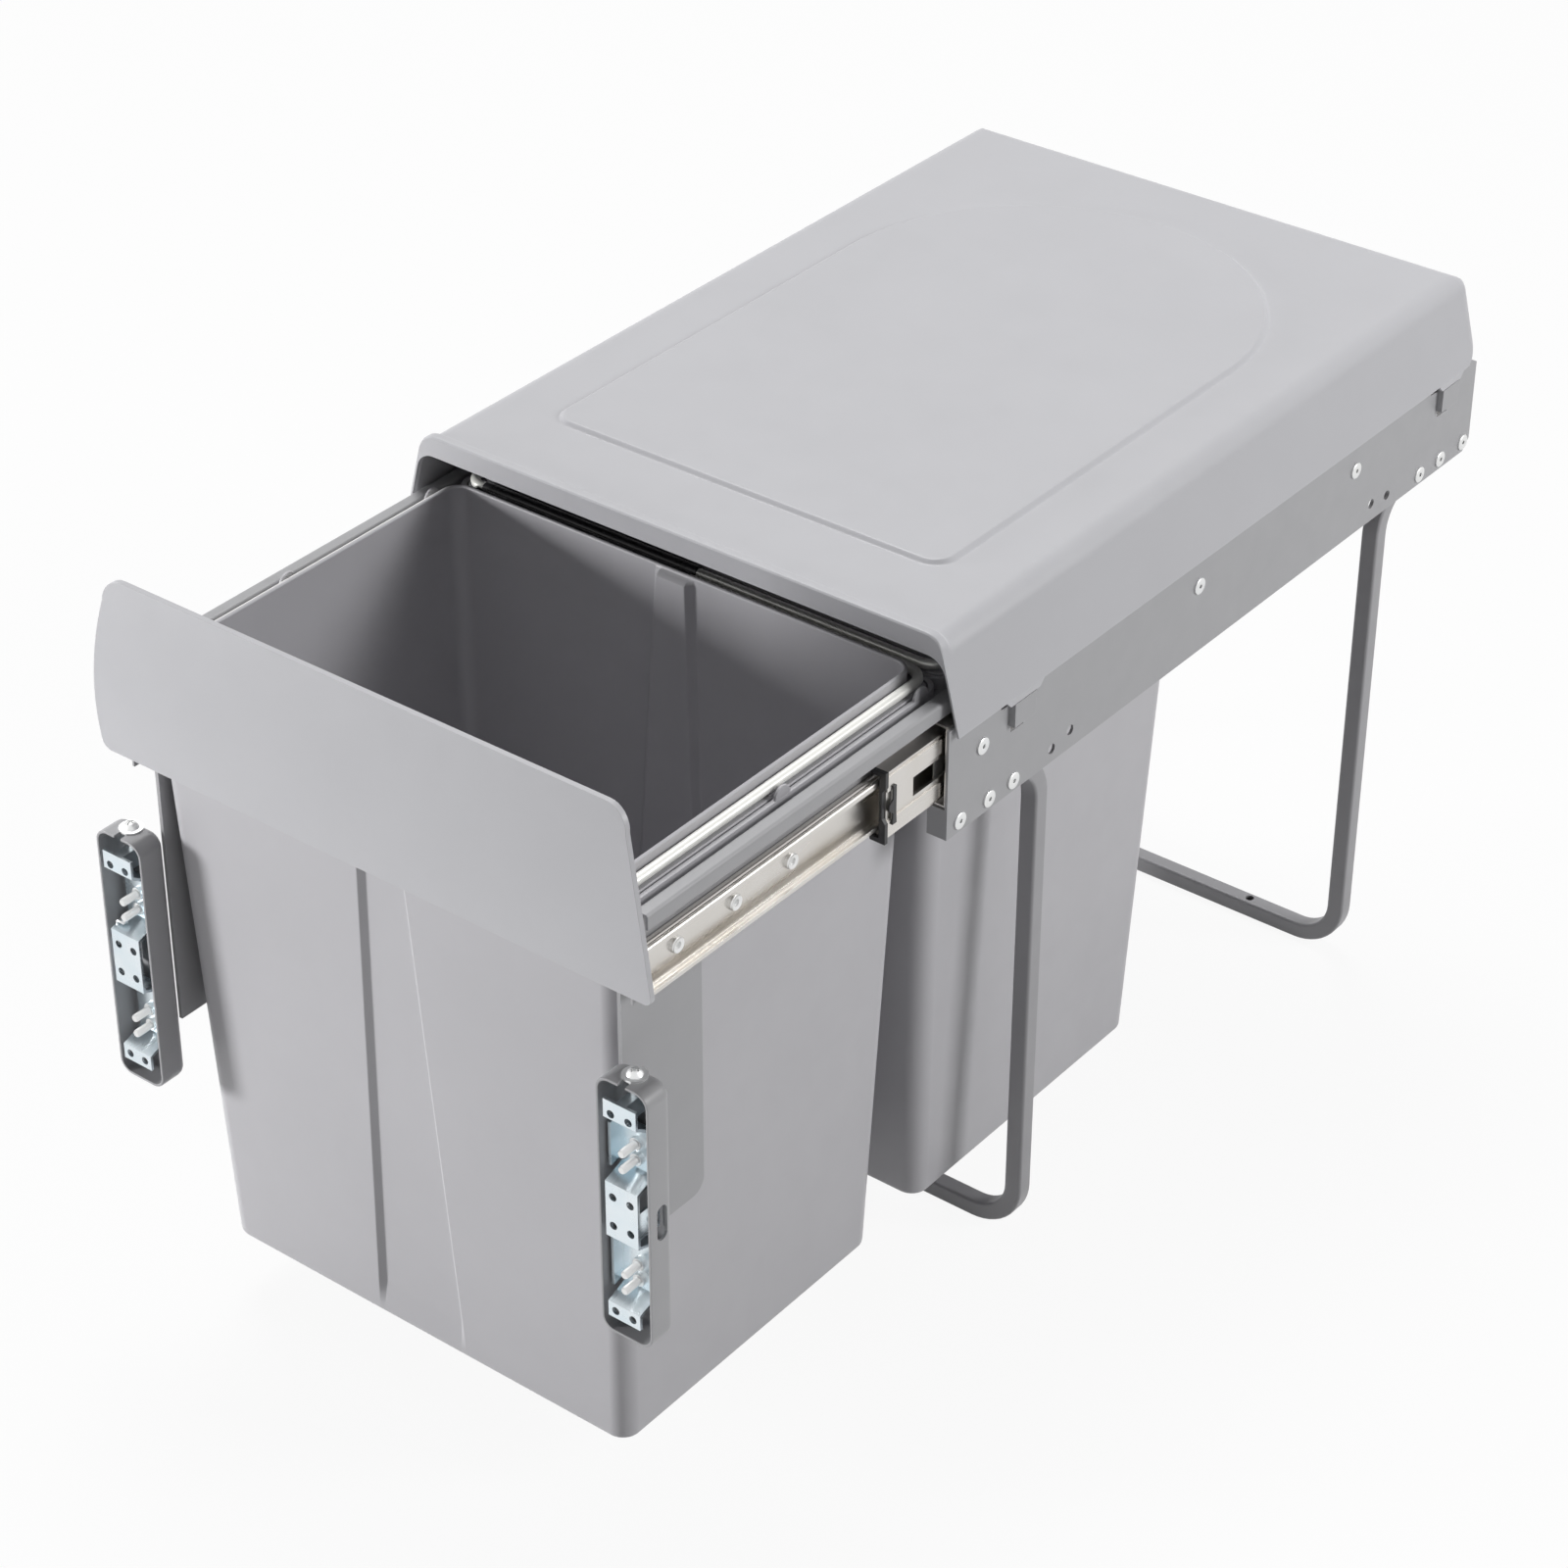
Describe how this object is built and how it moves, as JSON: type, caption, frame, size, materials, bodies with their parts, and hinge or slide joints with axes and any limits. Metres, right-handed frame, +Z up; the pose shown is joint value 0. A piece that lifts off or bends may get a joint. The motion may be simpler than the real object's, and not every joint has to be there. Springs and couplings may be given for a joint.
{
  "type": "pull-out bin frame",
  "caption": "Pull-out waste bin set for a base cabinet: steel frame on U-shaped legs under a plastic cover, ball-bearing slides, lift-out bins, front panel and door brackets.",
  "frame": {"origin": "on the floor at the middle of the bounding box, with the carriage pulled out as pictured", "axes": "+X to the right seen from the front, +Y to the rear of the cabinet, +Z up"},
  "size_m": [0.342, 0.709, 0.418],
  "materials": {
    "cover_plastic": "satin",
    "bin_plastic": "satin",
    "grey_paint": "satin",
    "dark_paint": "satin",
    "white_zinc": "zinc plated",
    "yellow_zinc": "zinc plated",
    "blue_zinc": "zinc plated",
    "bright_wire": "bright plated",
    "black_plastic": "satin"
  },
  "bodies": {
    "fixed_frame": {"cover": "cover_plastic", "side_plate_right": "grey_paint", "side_plate_left": "grey_paint", "front_leg": "dark_paint", "rear_leg": "dark_paint", "slide_outer_right": "yellow_zinc", "slide_outer_left": "yellow_zinc", "slide_rivets_right": "white_zinc", "slide_rivets_left": "white_zinc", "leg_rivets_right": "white_zinc", "leg_rivets_left": "white_zinc"},
    "right_middle": {"slide_middle_right": "yellow_zinc", "slide_cap_right": "black_plastic"},
    "left_middle": {"slide_middle_left": "yellow_zinc", "slide_cap_left": "black_plastic"},
    "right_outer_cage": {"outer_cage_right": "white_zinc", "outer_balls_right": "bright_wire"},
    "left_outer_cage": {"outer_cage_left": "white_zinc", "outer_balls_left": "bright_wire"},
    "right_inner_cage": {"inner_cage_right": "white_zinc", "inner_balls_right": "bright_wire"},
    "left_inner_cage": {"inner_cage_left": "white_zinc", "inner_balls_left": "bright_wire"},
    "carriage": {"slide_inner_right": "yellow_zinc", "slide_inner_left": "yellow_zinc", "rail_right": "grey_paint", "rail_left": "grey_paint", "rail_screws_right": "white_zinc", "rail_screws_left": "white_zinc", "rear_tie": "grey_paint", "arm_right": "grey_paint", "arm_left": "grey_paint", "tray_right": "grey_paint", "tray_left": "grey_paint", "adjust_washer_right": "white_zinc", "adjust_washer_left": "white_zinc", "front_panel": "cover_plastic", "panel_clip_right": "grey_paint", "panel_clip_left": "grey_paint", "panel_screws": "white_zinc"},
    "front_bin_set": {"front_bin": "bin_plastic", "front_handle": "bright_wire", "front_grip": "black_plastic"},
    "rear_bin_set": {"rear_bin": "bin_plastic", "rear_handle": "bright_wire", "rear_grip": "black_plastic"},
    "right_door_plate": {"door_plate_right": "blue_zinc", "door_studs_right": "white_zinc", "lock_screw_right": "white_zinc"},
    "left_door_plate": {"door_plate_left": "blue_zinc", "door_studs_left": "white_zinc", "lock_screw_left": "white_zinc"},
    "right_adjuster": {"adjust_screw_right": "white_zinc"},
    "left_adjuster": {"adjust_screw_left": "white_zinc"}
  },
  "joints": [
    {"name": "right_middle_slide", "type": "slide", "parent": "fixed_frame", "child": "right_middle", "axis": [0, -1, 0], "range_m": [-0.045, 0.17]},
    {"name": "left_middle_slide", "type": "slide", "parent": "fixed_frame", "child": "left_middle", "axis": [0, -1, 0], "range_m": [-0.045, 0.17]},
    {"name": "carriage_slide", "type": "slide", "parent": "right_middle", "child": "carriage", "axis": [0, -1, 0], "range_m": [-0.16, 0.055]},
    {"name": "right_outer_cage_slide", "type": "slide", "parent": "fixed_frame", "child": "right_outer_cage", "axis": [0, -1, 0], "range_m": [-0.0225, 0.085]},
    {"name": "left_outer_cage_slide", "type": "slide", "parent": "fixed_frame", "child": "left_outer_cage", "axis": [0, -1, 0], "range_m": [-0.0225, 0.085]},
    {"name": "right_inner_cage_slide", "type": "slide", "parent": "right_middle", "child": "right_inner_cage", "axis": [0, -1, 0], "range_m": [-0.08, 0.0275]},
    {"name": "left_inner_cage_slide", "type": "slide", "parent": "left_middle", "child": "left_inner_cage", "axis": [0, -1, 0], "range_m": [-0.08, 0.0275]},
    {"name": "front_bin_lift", "type": "slide", "parent": "carriage", "child": "front_bin_set", "axis": [0, 0, 1], "range_m": [0, 0.01]},
    {"name": "rear_bin_lift", "type": "slide", "parent": "carriage", "child": "rear_bin_set", "axis": [0, 0, 1], "range_m": [0, 0.01]},
    {"name": "right_adjust_turn", "type": "hinge", "parent": "carriage", "child": "right_adjuster", "pos_m": [0.1555, -0.3433, 0.278], "axis": [0, 0, 1], "range_deg": [-2250, 2250]},
    {"name": "left_adjust_turn", "type": "hinge", "parent": "carriage", "child": "left_adjuster", "pos_m": [-0.1555, -0.3433, 0.278], "axis": [0, 0, 1], "range_deg": [-2250, 2250]},
    {"name": "right_door_plate_slide", "type": "slide", "parent": "carriage", "child": "right_door_plate", "axis": [0, 0, 1], "range_m": [-0.005, 0.005]},
    {"name": "left_door_plate_slide", "type": "slide", "parent": "carriage", "child": "left_door_plate", "axis": [0, 0, 1], "range_m": [-0.005, 0.005]}
  ],
  "couplings": [
    {"joint": "left_middle_slide", "follows": "right_middle_slide", "ratio": 1},
    {"joint": "right_outer_cage_slide", "follows": "right_middle_slide", "ratio": 0.5},
    {"joint": "left_outer_cage_slide", "follows": "right_middle_slide", "ratio": 0.5},
    {"joint": "right_inner_cage_slide", "follows": "carriage_slide", "ratio": 0.5},
    {"joint": "left_inner_cage_slide", "follows": "carriage_slide", "ratio": 0.5},
    {"joint": "right_adjust_turn", "follows": "right_door_plate_slide", "rad_per_m": -7853.9},
    {"joint": "left_adjust_turn", "follows": "left_door_plate_slide", "rad_per_m": -7853.9}
  ]
}
